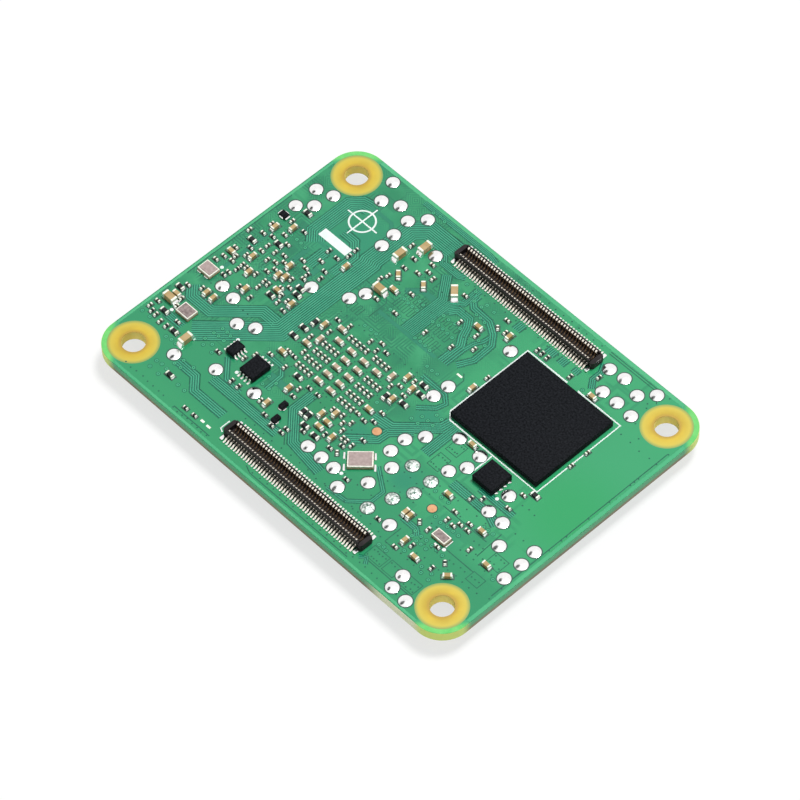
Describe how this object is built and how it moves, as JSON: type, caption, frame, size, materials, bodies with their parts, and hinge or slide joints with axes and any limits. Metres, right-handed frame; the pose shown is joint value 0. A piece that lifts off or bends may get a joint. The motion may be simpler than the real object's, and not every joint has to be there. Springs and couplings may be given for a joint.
{
  "type": "compute module",
  "caption": "Compute module: a small computer on one rectangular board with rounded corners, mounting holes, board-to-board sockets, memory and chip components.",
  "frame": {"origin": "centre of the board's outline, on the plane of the processor lid's flat outer face, on which the module lies", "axes": "+X along the board's long side, +Y across the board, +Z towards the face that carries the board-to-board sockets"},
  "size_m": [0.055, 0.04, 0.0046],
  "materials": {
    "board": "glossy green solder mask over glass-fibre laminate",
    "solder": "bright tinned solder",
    "bare_copper": "bare copper",
    "contact_gold": "thin gold plating over bronze",
    "socket_plastic": "moulded black-brown polymer",
    "package_black": "matte black moulding compound",
    "lead_metal": "matte tin plating",
    "capacitor_ceramic": "fired tan ceramic with tinned ends",
    "resistor_black": "black glazed top with tinned ends",
    "crystal_ceramic": "fired ceramic",
    "crystal_lid": "satin nickel-iron lid",
    "substrate": "dark green carrier laminate",
    "silicon": "polished silicon",
    "nickel_lid": "satin nickel plating over copper",
    "shield_metal": "bright tin-plated steel sheet",
    "ferrite": "grey pressed ferrite",
    "led_lens": "milky epoxy"
  },
  "bodies": {
    "root": {"antenna_socket_base": "socket_plastic", "antenna_socket_pin": "contact_gold", "antenna_socket_shell": "contact_gold", "boot_memory": "package_black", "boot_memory_pads": "solder", "circuit_board": "board", "clock_crystal_lid": "crystal_lid", "clock_crystal_tray": "crystal_ceramic", "copper_fiducials": "bare_copper", "flash_memory": "package_black", "io_controller": "package_black", "large_capacitor_bodies": "capacitor_ceramic", "large_capacitor_terminals": "solder", "lower_socket_contacts": "contact_gold", "lower_socket_housing": "socket_plastic", "lower_socket_tabs": "solder", "medium_capacitors": "capacitor_ceramic", "medium_resistors": "resistor_black", "monitor_chip_body": "package_black", "monitor_chip_leads": "lead_metal", "network_chip": "package_black", "network_crystal_lid": "crystal_lid", "network_crystal_tray": "crystal_ceramic", "power_capacitors": "capacitor_ceramic", "power_inductors": "ferrite", "power_manager": "package_black", "processor_capacitors": "capacitor_ceramic", "processor_crystal_lid": "crystal_lid", "processor_crystal_tray": "crystal_ceramic", "processor_die": "silicon", "processor_lid": "nickel_lid", "processor_substrate": "substrate", "protection_diodes": "package_black", "radio_chip": "package_black", "radio_crystal_lid": "crystal_lid", "radio_crystal_tray": "crystal_ceramic", "radio_filter": "package_black", "radio_shield": "shield_metal", "small_capacitors": "capacitor_ceramic", "small_resistors": "resistor_black", "status_leds": "led_lens", "switch_chip_body": "package_black", "switch_chip_leads": "lead_metal", "test_pads": "solder", "upper_socket_contacts": "contact_gold", "upper_socket_housing": "socket_plastic", "upper_socket_tabs": "solder", "working_memory": "package_black"}
  },
  "joints": []
}
